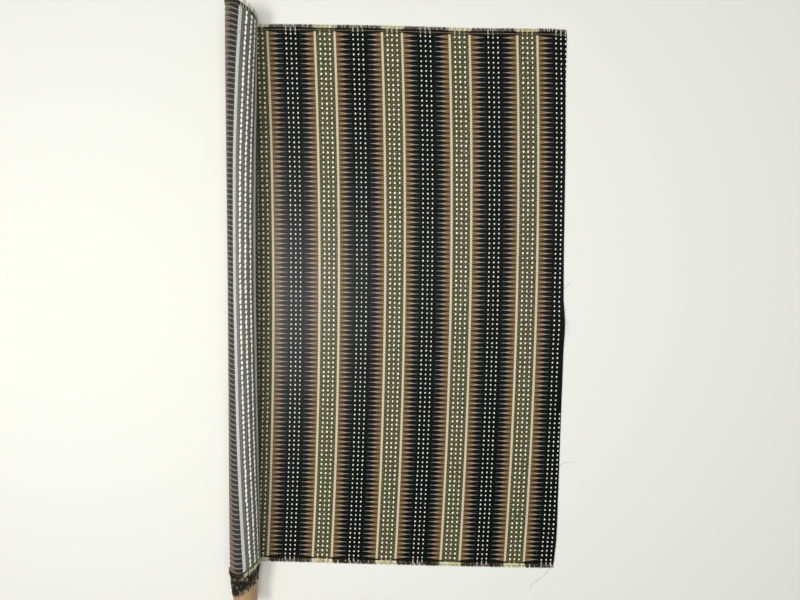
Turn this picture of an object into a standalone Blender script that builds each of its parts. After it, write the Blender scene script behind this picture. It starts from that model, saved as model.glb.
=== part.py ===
"""A length of striped upholstery cloth: one end wound on a cardboard tube, the other end laid flat."""
import math
import random

import bmesh
import bpy
from mathutils import Vector

# Frame, in metres: X from the roll to the cut edge, Y along the tube to the back, Z up, floor at 0.

# Cardboard tube
TUBE_OUTER_RADIUS = 0.0305
TUBE_WALL = 0.005
TUBE_LENGTH = 1.524
TUBE_FRONT = -0.7899

# Cloth
CLOTH_THICKNESS = 0.00105
TURNS = 6
BORE_CLEARANCE = 0.0004
FLAT_LENGTH = 0.8562
ROLL_RADIUS = TUBE_OUTER_RADIUS + BORE_CLEARANCE + (TURNS + 1) * CLOTH_THICKNESS
PIECE_GAP = 0.0003

# The turns are looser towards the roll's ends: extra radius there, the Y of none, and how far it grows
END_FLARE = 0.0012
FLARE_MIDDLE = 0.035
FLARE_REACH = 0.700
FLARE_POWER = 1.5

# The roll's axis, placed so that the whole part is centred on the origin
ROLL_X = (ROLL_RADIUS + END_FLARE - FLAT_LENGTH) / 2
ROLL_Z = ROLL_RADIUS
SECTORS = 36
SECTOR = 2 * math.pi / SECTORS
OVER_SECTOR = SECTORS - 2
FLOOR_SNAP = 0.0007

# Woven ends of the outermost and innermost turns at four places round the roll (Y)
TURN_ENDS = [
    # turn, bottom, left, top, right
    ("front outer", -0.6880, -0.6785, -0.6835, -0.6665),
    ("front inner", -0.7375, -0.7465, -0.7365, -0.7155),
    ("back outer", 0.7545, 0.7805, 0.7735, 0.7535),
    ("back inner", 0.7025, 0.7235, 0.7195, 0.7025),
]

# Where the flat cloth leaves the roll: underside start and the crevice above it, from the roll's axis
UNDERSIDE_START = 0.0067
CREVICE = 0.0095

# Flat cloth: distance from the roll's axis and the woven edges there (Y), at some of the length stations below
FLAT_EDGES = [
    # from axis, front edge, back edge
    (0.000, -0.6880, 0.7545),
    (0.120, -0.6885, 0.7536),
    (0.350, -0.6918, 0.7512),
    (0.590, -0.6937, 0.7447),
    (0.805, -0.6943, 0.7433),
    (0.856, -0.6935, 0.7400),
]

# Cut edge: how far from the roll's axis it lies along Y
CUT_EDGE = [
    # y, from axis
    (-0.695, 0.8432),
    (-0.626, 0.8479),
    (-0.490, 0.8508),
    (-0.356, 0.8519),
    (-0.092, 0.8552),
    (-0.026, 0.8562),
    (0.039, 0.8519),
    (0.168, 0.8494),
    (0.422, 0.8471),
    (0.609, 0.8428),
    (0.743, 0.8427),
]

# Places along the cloth's width (Y) and its flat length (from the roll's axis)
WIDTH_STATIONS = [
    -0.640, -0.560, -0.470, -0.360, -0.260, -0.170, -0.095, -0.060, -0.026, 0.008, 0.045,
    0.110, 0.200, 0.300, 0.400, 0.500, 0.590, 0.660, 0.710,
]
LENGTH_STATIONS = [
    0.030, 0.065, 0.120, 0.190, 0.270, 0.350, 0.430, 0.510, 0.590, 0.660, 0.720, 0.770, 0.805, 0.835,
]

SKIN_POINTS = len(WIDTH_STATIONS) + 2
CORNER = 0.845

# Soft lifts of the flat cloth off the floor
LIFTS = [
    # from axis, y, half length across, half length along, height
    (0.861, -0.026, 0.075, 0.075, 0.0040),
    (0.847, -0.590, 0.060, 0.090, 0.0022),
    (0.600, 0.450, 0.120, 0.180, 0.0012),
    (0.330, -0.320, 0.110, 0.200, 0.0010),
    (0.100, 0.200, 0.060, 0.420, 0.0014),
]

# Fringe of loose weft ends along the woven edges
STRIP_WIDTH = 0.003
FLAT_LOCKS = 72
FRONT_LOCK_LENGTH = 0.0120
BACK_LOCK_LENGTH = 0.0082
ROLL_LOCK_LENGTH = 0.0085
LOCK_SHARE = 0.62
TIP_SHARE = 0.45
TIP_HEIGHT = 0.6
OUTER_SIDE = 2
FRINGE_START = 0.0135
FRINGE_END_MARGIN = 0.0015
FLOOR_LIFT = 0.0003
RING_TURNS_FRONT = (0, 3, 5)
RING_TURNS_BACK = (0,)

# Finish: base colour, roughness
FINISHES = {
    "jacquard_cloth": ((0.075, 0.062, 0.048), 0.9),
    "kraft_cardboard": ((0.47, 0.31, 0.18), 0.85),
    "weft_fringe": ((0.35, 0.31, 0.20), 0.95),
}


def clear_scene():
    for thing in list(bpy.data.objects):
        bpy.data.objects.remove(thing, do_unlink=True)


def make_material(name):
    colour, roughness = FINISHES[name]
    material = bpy.data.materials.new(name)
    material.use_nodes = True
    shader = material.node_tree.nodes["Principled BSDF"]
    shader.inputs["Base Color"].default_value = (*colour, 1.0)
    shader.inputs["Roughness"].default_value = roughness
    shader.inputs["Metallic"].default_value = 0.0
    return material


def finish_object(name, mesh_builder, material):
    """Close the mesh up, point its faces out and put it in the scene."""
    bmesh.ops.recalc_face_normals(mesh_builder, faces=mesh_builder.faces)
    mesh = bpy.data.meshes.new(name)
    mesh_builder.to_mesh(mesh)
    mesh_builder.free()
    mesh.materials.append(material)
    mesh.shade_smooth()
    mesh.set_sharp_from_angle(angle=math.radians(35))
    thing = bpy.data.objects.new(name, mesh)
    bpy.context.collection.objects.link(thing)
    return thing


def between(table, place, column):
    """Value on straight lines between the rows of a table whose first column is the place."""
    if place <= table[0][0]:
        return table[0][column]
    for low, high in zip(table, table[1:]):
        if place <= high[0]:
            share = (place - low[0]) / (high[0] - low[0])
            return low[column] + (high[column] - low[column]) * share
    return table[-1][column]


def ring_value(row, angle):
    """Value round the roll from its bottom, left, top and right ones; angle 0 is the top, clockwise to +X."""
    bottom, left, top, right = row[1:]
    mean = (bottom + left + top + right) / 4
    upright = (top - bottom) / 2 * math.cos(angle)
    sideways = (right - left) / 2 * math.sin(angle)
    squash = (top + bottom - left - right) / 4 * math.cos(2 * angle)
    return mean + upright + sideways + squash


def woven_end(side, turn, angle):
    """Y of the woven edge of one turn, 0 the outermost, at an angle round the roll."""
    rows = {row[0]: row for row in TURN_ENDS}
    outer = ring_value(rows[side + " outer"], angle)
    inner = ring_value(rows[side + " inner"], angle)
    return outer + (inner - outer) * turn / (TURNS - 1)


def sector_angle(sector):
    """Angle of a sector line: line 0 is the bottom, counting up the left side, over the top and down the right."""
    return math.pi + sector * SECTOR


def on_roll(turn, sector, y, inset=0.0):
    """Point on the outside of a turn, at a sector line and under it by the inset.

    The winding closes in by one thickness a turn. Loose turns are wider and rise, and all rest on the floor.
    """
    angle = sector_angle(sector)
    wound = turn + (sector % SECTORS) / SECTORS
    looseness = min(1.0, abs(y - FLARE_MIDDLE) / FLARE_REACH) ** FLARE_POWER
    flare = END_FLARE * looseness * (1 - wound / (TURNS + 1))
    radius = ROLL_RADIUS + flare - CLOTH_THICKNESS * wound - inset
    x = ROLL_X + radius * math.sin(angle)
    z = ROLL_Z + flare + radius * math.cos(angle)
    return Vector((x, y, z if z > FLOOR_SNAP else 0.0))


def lift(distance, y):
    """Height of the flat cloth's underside above the floor."""
    height = 0.0
    for centre, middle, across, along, peak in LIFTS:
        reach = ((distance - centre) / across) ** 2 + ((y - middle) / along) ** 2
        if reach < 1:
            height += peak * (1 - reach) ** 2
    return height


def cut_edge(y):
    return between(CUT_EDGE, y, 1)


def flat_edge(side, distance):
    column = {"front": 1, "back": 2}[side]
    return between(FLAT_EDGES, distance, column)


def roll_profile(sector):
    """Turn and Y of each corner of the wound cloth's section at one sector line, as a closed outline."""
    angle = sector_angle(sector)
    inset = STRIP_WIDTH + PIECE_GAP
    outline = []
    front = woven_end("front", 0, angle) + inset
    back = woven_end("back", 0, angle) - inset
    outline.append((0, front))
    for y in WIDTH_STATIONS:
        outline.append((0, y))
    outline.append((0, back))
    for turn in range(1, TURNS + 1):
        outline.append((turn, back))
        if turn < TURNS:
            back = woven_end("back", turn, angle) - inset
            outline.append((turn, back))
    for turn in range(TURNS, 0, -1):
        front = woven_end("front", turn - 1, angle) + inset
        outline.append((turn, front))
        if turn > 1:
            outline.append((turn - 1, front))
    return outline


def build_wound_cloth(builder):
    """Rings of the section from sector line to sector line, with the skin left open where the flat cloth leaves."""
    grid = []
    for sector in range(SECTORS):
        grid.append([builder.verts.new(on_roll(turn, sector, y)) for turn, y in roll_profile(sector)])
    count = len(grid[0])
    for sector in range(SECTORS):
        near = grid[sector]
        far = grid[(sector + 1) % SECTORS]
        for step in range(count):
            if sector == OVER_SECTOR and step < SKIN_POINTS - 1:
                continue
            after = (step + 1) % count
            builder.faces.new((near[step], far[step], far[after], near[after]))
    return grid


def build_flat_cloth(builder, under, over):
    """Flat cloth drawn out of the roll's open skin, from its underside line and the crevice line above it."""
    for line, start, height in ((under, UNDERSIDE_START, 0.0), (over, CREVICE, CLOTH_THICKNESS)):
        for vertex in line:
            vertex.co.x = ROLL_X + start
            vertex.co.z = height
    for distance in LENGTH_STATIONS + [None]:
        next_under, next_over = flat_section(builder, distance)
        for step in range(SKIN_POINTS - 1):
            builder.faces.new((under[step], under[step + 1], next_under[step + 1], next_under[step]))
            builder.faces.new((over[step], over[step + 1], next_over[step + 1], next_over[step]))
        for step in (0, SKIN_POINTS - 1):
            builder.faces.new((under[step], over[step], next_over[step], next_under[step]))
        under, over = next_under, next_over
    for step in range(SKIN_POINTS - 1):
        builder.faces.new((under[step], under[step + 1], over[step + 1], over[step]))


def flat_section(builder, distance):
    """Underside and upper side of the flat cloth along its width; without a distance it is the cut edge."""
    inset = STRIP_WIDTH + PIECE_GAP
    edge_place = CORNER if distance is None else distance
    front = flat_edge("front", edge_place) + inset
    back = flat_edge("back", edge_place) - inset
    under = []
    over = []
    for y in [front] + WIDTH_STATIONS + [back]:
        x = cut_edge(y) if distance is None else distance
        height = lift(x, y)
        under.append(builder.verts.new((ROLL_X + x, y, height)))
        over.append(builder.verts.new((ROLL_X + x, y, height + CLOTH_THICKNESS)))
    return under, over


def build_cloth(material):
    """The whole length as one solid: the wound part with its stepped ends and the flat part."""
    builder = bmesh.new()
    grid = build_wound_cloth(builder)
    under = grid[OVER_SECTOR + 1][:SKIN_POINTS]
    over = grid[OVER_SECTOR][:SKIN_POINTS]
    build_flat_cloth(builder, under, over)
    return finish_object("cloth", builder, material)


def build_tube(material):
    """Round board tube, open at both ends. Its back end stays inside the roll."""
    builder = bmesh.new()
    outer = TUBE_OUTER_RADIUS
    bore = TUBE_OUTER_RADIUS - TUBE_WALL
    back = TUBE_FRONT + TUBE_LENGTH
    rings = []
    for radius, y in ((outer, TUBE_FRONT), (outer, back), (bore, back), (bore, TUBE_FRONT)):
        ring = []
        for sector in range(SECTORS):
            angle = sector_angle(sector)
            x = ROLL_X + radius * math.sin(angle)
            z = ROLL_Z + radius * math.cos(angle)
            ring.append(builder.verts.new((x, y, z)))
        rings.append(ring)
    for number, ring in enumerate(rings):
        following = rings[(number + 1) % len(rings)]
        for sector in range(SECTORS):
            after = (sector + 1) % SECTORS
            builder.faces.new((ring[sector], ring[after], following[after], following[sector]))
    return finish_object("tube", builder, material)


def comb(builder, places, closed, strip_point, lock_length, chance):
    """A narrow strip with a tapered lock on every second cell; strip_point gives its points."""
    sections = [strip_section(builder, place, strip_point) for place in places]
    pairs = list(zip(sections, sections[1:]))
    if closed:
        pairs.append((sections[-1], sections[0]))
    else:
        builder.faces.new(sections[0])
        builder.faces.new(sections[-1])
    for number, (near, far) in enumerate(pairs):
        for side in range(4):
            after = (side + 1) % 4
            corners = (near[side], near[after], far[after], far[side])
            if side == OUTER_SIDE and number % 2 == 1:
                grow_lock(builder, corners, near[0].co, lock_length, chance)
            else:
                builder.faces.new(corners)


def strip_section(builder, place, strip_point):
    """The strip's four corners at one place: inner low, inner high, outer high, outer low."""
    corners = []
    for across, level in ((0.0, 0.0), (0.0, 1.0), (1.0, 1.0), (1.0, 0.0)):
        corners.append(builder.verts.new(strip_point(place, across, level)))
    return corners


def grow_lock(builder, root, inner, lock_length, chance):
    """Draw the outer face of one cell out into a tapered, slightly leaning lock, level with the strip's underside."""
    near_high, near_low, far_low, far_high = [vertex.co.copy() for vertex in root]
    outward = (near_low - inner).normalized() * lock_length * chance.uniform(0.7, 1.0)
    half = (far_low - near_low) * 0.5
    middle = near_low + half * (1 + chance.uniform(-0.4, 0.4)) + outward
    rise = (near_high - near_low) * TIP_HEIGHT
    tip = []
    for side, height in ((-1, 1), (-1, 0), (1, 0), (1, 1)):
        tip.append(builder.verts.new(middle + half * TIP_SHARE * side + rise * height))
    for side in range(4):
        after = (side + 1) % 4
        builder.faces.new((root[side], root[after], tip[after], tip[side]))
    builder.faces.new(tip)


def cell_places(start, end, cells):
    """Places that part a run into gaps and lock roots."""
    pitch = (end - start) / cells
    places = []
    for cell in range(cells):
        places.append(start + pitch * cell)
        places.append(start + pitch * (cell + 1 - LOCK_SHARE))
    return places + [end]


def build_flat_fringe(side, lock_length, seed, material):
    """Fringe strip along one woven edge of the flat cloth."""
    outward = {"front": -1, "back": 1}[side]

    def strip_point(distance, across, level):
        edge = flat_edge(side, distance)
        y = edge - outward * STRIP_WIDTH * (1 - across)
        return (ROLL_X + distance, y, lift(distance, edge) + CLOTH_THICKNESS * level)

    builder = bmesh.new()
    end = cut_edge(flat_edge(side, CORNER)) - FRINGE_END_MARGIN
    comb(builder, cell_places(FRINGE_START, end, FLAT_LOCKS), False, strip_point, lock_length, random.Random(seed))
    return finish_object("fringe_" + side, builder, material)


def build_roll_fringe(side, turn, name, seed, material):
    """Fringe ring round the end of one turn of the roll."""
    outward = {"front": -1, "back": 1}[side]
    outer_inset = FLOOR_LIFT if turn == 0 else 0.0

    def strip_point(place, across, level):
        low = int(place) % SECTORS
        points = []
        for sector in (low, low + 1):
            edge = woven_end(side, turn, sector_angle(sector))
            y = edge - outward * STRIP_WIDTH * (1 - across)
            outer = on_roll(turn, sector, y, outer_inset)
            inner = on_roll(turn + 1, sector, y, -PIECE_GAP)
            point = inner.lerp(outer, level)
            point.z = max(point.z, FLOOR_LIFT)
            points.append(point)
        return points[0].lerp(points[1], place - int(place))

    builder = bmesh.new()
    places = []
    for sector in range(SECTORS):
        places.append(float(sector))
        places.append(sector + 1 - LOCK_SHARE)
    comb(builder, places, True, strip_point, ROLL_LOCK_LENGTH, random.Random(seed))
    return finish_object(name, builder, material)


def main():
    clear_scene()
    cloth_material = make_material("jacquard_cloth")
    tube_material = make_material("kraft_cardboard")
    fringe_material = make_material("weft_fringe")
    build_cloth(cloth_material)
    build_tube(tube_material)
    build_flat_fringe("front", FRONT_LOCK_LENGTH, 11, fringe_material)
    build_flat_fringe("back", BACK_LOCK_LENGTH, 12, fringe_material)
    for number, turn in enumerate(RING_TURNS_FRONT, start=1):
        build_roll_fringe("front", turn, "fringe_roll_front_%d" % number, 20 + number, fringe_material)
    for number, turn in enumerate(RING_TURNS_BACK, start=1):
        build_roll_fringe("back", turn, "fringe_roll_back", 30 + number, fringe_material)


main()
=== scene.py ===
# %% [markdown]
# A length of striped upholstery cloth. One end is wound face in on a cardboard tube. The other end comes
# out from under the roll and lies flat, face up, to a cut edge. The solids say where everything is, and
# this script gives each of them its real surface: a woven sheet for the cloth, yarn ends for its fringes
# and board for the tube.

# %% The frame of solids
import math

import bmesh
import bpy
import numpy as np
from mathutils import Matrix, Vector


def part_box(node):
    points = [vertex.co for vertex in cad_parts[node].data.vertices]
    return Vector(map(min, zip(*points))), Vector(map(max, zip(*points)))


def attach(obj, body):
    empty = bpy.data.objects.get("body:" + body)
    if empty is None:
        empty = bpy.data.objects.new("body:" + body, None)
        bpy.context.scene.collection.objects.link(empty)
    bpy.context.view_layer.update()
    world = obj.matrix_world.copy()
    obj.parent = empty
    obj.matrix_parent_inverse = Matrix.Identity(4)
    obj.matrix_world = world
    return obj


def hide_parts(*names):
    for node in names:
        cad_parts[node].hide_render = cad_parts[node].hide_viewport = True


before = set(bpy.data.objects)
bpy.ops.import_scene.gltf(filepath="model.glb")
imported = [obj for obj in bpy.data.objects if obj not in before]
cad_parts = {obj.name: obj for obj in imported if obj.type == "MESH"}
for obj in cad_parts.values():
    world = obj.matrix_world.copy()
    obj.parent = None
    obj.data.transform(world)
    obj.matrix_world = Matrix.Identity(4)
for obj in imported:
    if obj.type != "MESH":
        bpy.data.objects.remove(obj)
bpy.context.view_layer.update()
TUBE_LOW, TUBE_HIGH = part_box("tube")
CLOTH_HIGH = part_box("cloth")[1]
AXIS_X = (TUBE_LOW[0] + TUBE_HIGH[0]) / 2
AXIS_Z = (TUBE_LOW[2] + TUBE_HIGH[2]) / 2
FLAT_LENGTH = CLOTH_HIGH[0] - AXIS_X
print("roll's axis at x %.4f, z %.4f; flat part %.4f m long" % (AXIS_X, AXIS_Z, FLAT_LENGTH))

# %% [markdown]
# The camera hangs a little over a metre above the cloth and looks almost straight down through a wide
# lens. The lens sees 90 degrees from side to side, so its length is half the sensor's width. A camera that
# is nearly level could be aimed at a target, but three small turns say more plainly how far it is off the
# plumb line.

# %% The camera
CAMERA_FROM_AXIS = 0.4191
CAMERA_Y = 0.0804
CAMERA_HEIGHT = 1.0833
CAMERA_TURNS = (-2.347, 0.602, 0.504)
SENSOR_WIDTH = 36.0
LENS = SENSOR_WIDTH / 2
LENS_SHIFT = (0.00125, -0.0006)

camera = bpy.data.objects.new("camera", bpy.data.cameras.new("camera"))
bpy.context.scene.collection.objects.link(camera)
camera.data.sensor_width = SENSOR_WIDTH
camera.data.lens = LENS
camera.data.shift_x, camera.data.shift_y = LENS_SHIFT
camera.location = (AXIS_X + CAMERA_FROM_AXIS, CAMERA_Y, CAMERA_HEIGHT)
camera.rotation_euler = [math.radians(turn) for turn in CAMERA_TURNS]
bpy.context.scene.camera = camera
print("camera at", [round(value, 4) for value in camera.location])

# %% [markdown]
# The pale floor takes the shadows and stays out of the object. One large soft light stands to the left. It
# throws the roll's shadow on the cloth beside it, and its broad reflection greys the cloth near the roll. A
# wide, weak one to the right puts a faint haze on the rest. A third lamp and an even sky fill in. Those two
# light the cloth but don't shine back off it, because dark yarns stay nearly black under even light.

# %% The floor, the lights and the sky
FLOOR_HALF = 4.0
LAMPS = [
    # name, from the axis in x, y, height, size across, size along, watts
    ("window", -1.24, -0.02, 2.30, 1.1, 0.8, 37.0),
    ("skylight", 1.30, 1.00, 3.00, 3.4, 5.0, 8.0),
    ("ceiling", 0.95, 0.12, 3.00, 2.6, 2.6, 48.5),
]
LAMP_COLOUR = (1.0, 0.99, 0.95)
SHINING = ("window", "skylight")
SKY = (0.99, 1.0, 0.97)
SKY_STRENGTH = 0.34


def link(name, data):
    """Puts data in the scene as an object that stands at the origin, unturned and unscaled."""
    thing = bpy.data.objects.new(name, data)
    bpy.context.scene.collection.objects.link(thing)
    return thing


builder = bmesh.new()
bmesh.ops.create_grid(builder, x_segments=1, y_segments=1, size=FLOOR_HALF)
floor_mesh = bpy.data.meshes.new("floor")
builder.to_mesh(floor_mesh)
builder.free()
floor = link("floor", floor_mesh)

for name, from_axis, y, height, across, along, watts in LAMPS:
    lamp = bpy.data.lights.new(name, "AREA")
    lamp.shape = "RECTANGLE"
    lamp.size = across
    lamp.size_y = along
    lamp.energy = watts
    lamp.color = LAMP_COLOUR
    stand = link(name, lamp)
    stand.visible_glossy = name in SHINING
    stand.location = (AXIS_X + from_axis, y, height)
    aim = Matrix.Translation((AXIS_X + CAMERA_FROM_AXIS, y, 0.0)).translation - stand.location
    stand.rotation_euler = aim.to_track_quat("-Z", "Y").to_euler()

world = bpy.data.worlds.new("sky")
world.use_nodes = True
world.node_tree.nodes["Background"].inputs["Color"].default_value = (*SKY, 1.0)
world.node_tree.nodes["Background"].inputs["Strength"].default_value = SKY_STRENGTH
world.cycles_visibility.glossy = False
bpy.context.scene.world = world
bpy.context.scene.view_settings.view_transform = "Standard"
print("lamps:", len(LAMPS))

# %% [markdown]
# Every surface here is a sum of a few plain rules: a stripe is a distance from a line, a wedge is a width
# that shrinks with distance, a speckle is a noise. Such rules are math nodes. A small class that adds and
# joins them keeps each material readable as the rule it follows, where the same nodes placed one by one
# would fill pages.


# %% Short calls for shader nodes
class Wiring:
    """Adds shader nodes to one material and joins them."""

    def __init__(self, name):
        self.material = bpy.data.materials.new(name)
        self.material.use_nodes = True
        self.tree = self.material.node_tree
        self.shader = self.tree.nodes["Principled BSDF"]

    def feed(self, socket, value):
        """Sets a socket, or joins it to another node's output."""
        if isinstance(value, bpy.types.NodeSocket):
            self.tree.links.new(value, socket)
        else:
            socket.default_value = value

    def math(self, operation, *values):
        made = self.tree.nodes.new("ShaderNodeMath")
        made.operation = operation
        for number, value in enumerate(values):
            self.feed(made.inputs[number], value)
        return made.outputs[0]

    def step(self, value, low, high, at_low=0.0, at_high=1.0):
        """Runs softly from at_low to at_high while the value goes from low to high, also backwards."""
        made = self.tree.nodes.new("ShaderNodeMapRange")
        made.interpolation_type = "SMOOTHSTEP"
        for number, part in enumerate((value, low, high, at_low, at_high)):
            self.feed(made.inputs[number], part)
        return made.outputs[0]

    def band(self, value, centre, half, soft):
        """1 where the value is within half of the centre, soft at its sides."""
        distance = self.math("ABSOLUTE", self.math("SUBTRACT", value, centre))
        return self.step(distance, half + soft, half - soft)

    def remaining(self, value, length):
        """1 where the value is 0, falling evenly to 0 where it reaches the length."""
        return self.math("MAXIMUM", self.math("SUBTRACT", 1.0, self.math("DIVIDE", value, length)), 0.0)

    def mix(self, share, low, high):
        """The colour low where the share is 0, high where it is 1."""
        made = self.tree.nodes.new("ShaderNodeMix")
        made.data_type = "RGBA"
        self.feed(made.inputs[0], share)
        self.feed(made.inputs[6], low)
        self.feed(made.inputs[7], high)
        return made.outputs[2]

    def noise(self, place, scale, detail=1.0):
        made = self.tree.nodes.new("ShaderNodeTexNoise")
        self.feed(made.inputs["Vector"], place)
        made.inputs["Scale"].default_value = scale
        made.inputs["Detail"].default_value = detail
        return made.outputs["Fac"]

    def vector(self, x, y, z=0.0):
        made = self.tree.nodes.new("ShaderNodeCombineXYZ")
        for number, value in enumerate((x, y, z)):
            self.feed(made.inputs[number], value)
        return made.outputs[0]

    def finish(self, colour, roughness, height=None, relief=0.0):
        """Joins the colour to the shader, and a height in metres to its bump."""
        self.feed(self.shader.inputs["Base Color"], colour)
        self.feed(self.shader.inputs["Roughness"], roughness)
        if height is not None:
            bump = self.tree.nodes.new("ShaderNodeBump")
            bump.inputs["Distance"].default_value = relief
            self.feed(bump.inputs["Height"], height)
            self.feed(self.shader.inputs["Normal"], bump.outputs["Normal"])
        return self.material


def dye(red, green, blue):
    """A colour as a camera shows it, 0 to 255, made the share of light that the yarn gives back."""
    shares = []
    for value in (red, green, blue):
        value = value / 255
        shares.append(value / 12.92 if value <= 0.04045 else ((value + 0.055) / 1.055) ** 2.4)
    return (*shares, 1.0)


plain = Wiring("pale_floor")
floor.data.materials.append(plain.finish(dye(230, 231, 226), 0.9))

# %% [markdown]
# Where a point of the cloth lies follows from two numbers: how far along the length it is, and which share
# of the width it has reached. Ahead of the roll the cloth is flat. Behind the line where it touches the
# floor it climbs the roll's left side and winds inwards, one thickness a turn. A cloth simulation could
# not wind a roll this neatly, and a formula keeps the stripes unstretched, because the distance along the
# spiral is known.

# %% The cloth's place in space
TURN_PITCH = 0.00105
TURNS = 6
SHEET = 0.00095
ROLL_RADIUS = AXIS_Z
MIDDLE_RADIUS = ROLL_RADIUS - SHEET / 2
END_FLARE = 0.0012
FLARE_MIDDLE = 0.035
FLARE_REACH = 0.700
FLARE_POWER = 1.5
WOUND_LENGTH = 2 * math.pi * (MIDDLE_RADIUS * TURNS - TURN_PITCH * TURNS**2 / 2)

# Woven edges (Y) of the outer and inner turns, at the roll's bottom, left, top and right
OUTER_FRONT = (-0.6880, -0.6785, -0.6835, -0.6665)
INNER_FRONT = (-0.7375, -0.7465, -0.7365, -0.7155)
OUTER_BACK = (0.7545, 0.7815, 0.7735, 0.7535)
INNER_BACK = (0.7025, 0.7235, 0.7195, 0.7025)
STEP_START = 0.75
STEP_TURNS = 4.75

FLAT_EDGES = [
    # from the roll's axis, front woven edge, back woven edge
    (0.000, -0.6880, 0.7545),
    (0.120, -0.6885, 0.7536),
    (0.350, -0.6918, 0.7512),
    (0.590, -0.6937, 0.7447),
    (0.805, -0.6943, 0.7433),
    (0.856, -0.6935, 0.7400),
]
CUT_EDGE = [
    # y, from the roll's axis
    (-0.695, 0.8432),
    (-0.626, 0.8479),
    (-0.490, 0.8508),
    (-0.356, 0.8519),
    (-0.092, 0.8552),
    (-0.026, 0.8562),
    (0.039, 0.8519),
    (0.168, 0.8494),
    (0.422, 0.8471),
    (0.609, 0.8428),
    (0.743, 0.8427),
]
LIFTS = [
    # from the axis, y, half length across, half length along, height
    (0.861, -0.026, 0.075, 0.075, 0.0040),
    (0.847, -0.590, 0.060, 0.090, 0.0022),
    (0.600, 0.450, 0.120, 0.180, 0.0012),
    (0.330, -0.320, 0.110, 0.200, 0.0010),
    (0.100, 0.200, 0.060, 0.420, 0.0014),
]


def ring_value(row, angle):
    """Value at an angle round the roll, from its bottom, left, top and right ones."""
    bottom, left, top, right = row
    upright = (bottom - top) / 2 * np.cos(angle)
    sideways = (left - right) / 2 * np.sin(angle)
    squash = (top + bottom - left - right) / 4 * np.cos(2 * angle)
    return sum(row) / 4 + upright + sideways + squash


def turns_at(along):
    """How many turns of the roll lie between the floor line and a place behind it."""
    wound = np.maximum(-along, 0.0)
    return (MIDDLE_RADIUS - np.sqrt(MIDDLE_RADIUS**2 - TURN_PITCH * wound / math.pi)) / TURN_PITCH


def woven_edges(along):
    """Y of the front and back woven edges, ahead of the roll and on it."""
    table = np.array(FLAT_EDGES)
    turns = turns_at(along)
    angle = 2 * math.pi * turns
    share = np.maximum(0.0, turns - STEP_START) / STEP_TURNS
    edges = []
    for column, outer, inner in ((1, OUTER_FRONT, INNER_FRONT), (2, OUTER_BACK, INNER_BACK)):
        flat = np.interp(along, table[:, 0], table[:, column])
        near = ring_value(outer, angle)
        edges.append(np.where(along < 0, near + (ring_value(inner, angle) - near) * share, flat))
    return edges


def lift(distance, y):
    """Height of the flat cloth's underside above the floor."""
    height = np.zeros_like(distance)
    for centre, middle, across, along, peak in LIFTS:
        reach = ((distance - centre) / across) ** 2 + ((y - middle) / along) ** 2
        height = height + peak * np.maximum(0.0, 1 - reach) ** 2
    return height


def flare_at(y, turns):
    """Extra radius of the turns that lie looser towards the roll's ends."""
    looseness = np.minimum(1.0, np.abs(y - FLARE_MIDDLE) / FLARE_REACH) ** FLARE_POWER
    return END_FLARE * looseness * (1 - turns / (TURNS + 1))


def cloth_points(along, share, offset):
    """Points of the cloth: along is the way from the floor line, share the part of the width from the front,
    and offset the height over the middle of the thickness, towards the face."""
    front, back = woven_edges(along)
    y = front + (back - front) * share
    turns = turns_at(along)
    angle = 2 * math.pi * turns
    flare = flare_at(y, turns)
    radius = MIDDLE_RADIUS + flare - TURN_PITCH * turns - offset
    wound_x = AXIS_X - radius * np.sin(angle)
    wound_z = AXIS_Z + flare - radius * np.cos(angle)
    flat_z = lift(along, y) + SHEET / 2 + offset
    x = np.where(along < 0, wound_x, AXIS_X + along)
    z = np.where(along < 0, wound_z, flat_z)
    return np.stack([x, y, z], axis=-1)


CLOTH_WIDTH = 1.4445
print("cloth: %.3f m wound in %d turns, %.3f m flat" % (WOUND_LENGTH, TURNS, FLAT_LENGTH))

# %% [markdown]
# The stripes run across the length. A repeat is a dark band with wedges at both its sides and three pin
# lines in its middle, then a narrow olive band with three more pin lines, and a cream line between each
# two bands. The whole weave bows a little, so the lines curve back towards the edges. The outer turn lies
# a little slack, so its lines also creep round the roll by a few millimetres, which a short table gives.
# Each point of the cloth keeps its own place in the weave as a UV pair: metres from the first cream line,
# and metres from the front woven edge.

# %% The plan of the weave
REPEAT = 0.1780
DARK_BAND = 0.1255
CREAM_HALF = 0.0029
FIRST_CREAM = 0.0668
BOW = (0.0022, -0.0309)
BOW_MIDDLE = 0.741
CREEP = [
    # y, how much further round the roll the stripes lie there than on an even spiral
    (-0.640, 0.0010),
    (-0.450, 0.0002),
    (-0.100, 0.0002),
    (0.100, -0.0010),
    (0.400, -0.0009),
    (0.530, 0.0014),
    (0.630, 0.0028),
    (0.750, 0.0062),
]
CREEP_GROWTH = 4
ROW_PITCH = 0.01287
ROWS = 111
PATTERN_START = 0.0057
PATTERN_END = PATTERN_START + ROWS * ROW_PITCH
DARK_PINS = (0.0489, 0.0617, 0.0742)
OLIVE_PINS = (0.0138, 0.0262, 0.0390)
PIN_LINES = DARK_PINS + tuple(DARK_BAND + pin for pin in OLIVE_PINS)


def cream_line(share):
    """How far from the roll's axis the first cream line lies, at a share of the width."""
    from_middle = share * CLOTH_WIDTH - BOW_MIDDLE
    return FIRST_CREAM + BOW[0] * from_middle + BOW[1] * from_middle**2


def creep(along, share):
    """How much further round the roll the stripes lie; none on the flat part, all from a quarter turn on."""
    table = np.array(CREEP)
    front, back = woven_edges(along)
    y = front + (back - front) * share
    return np.interp(y, table[:, 0], table[:, 1]) * np.minimum(1.0, turns_at(along) * CREEP_GROWTH)


def weave_place(along, share):
    """The UV pair of points of the cloth."""
    return np.stack([along + creep(along, share) - cream_line(share), share * CLOTH_WIDTH], axis=-1)


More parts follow.
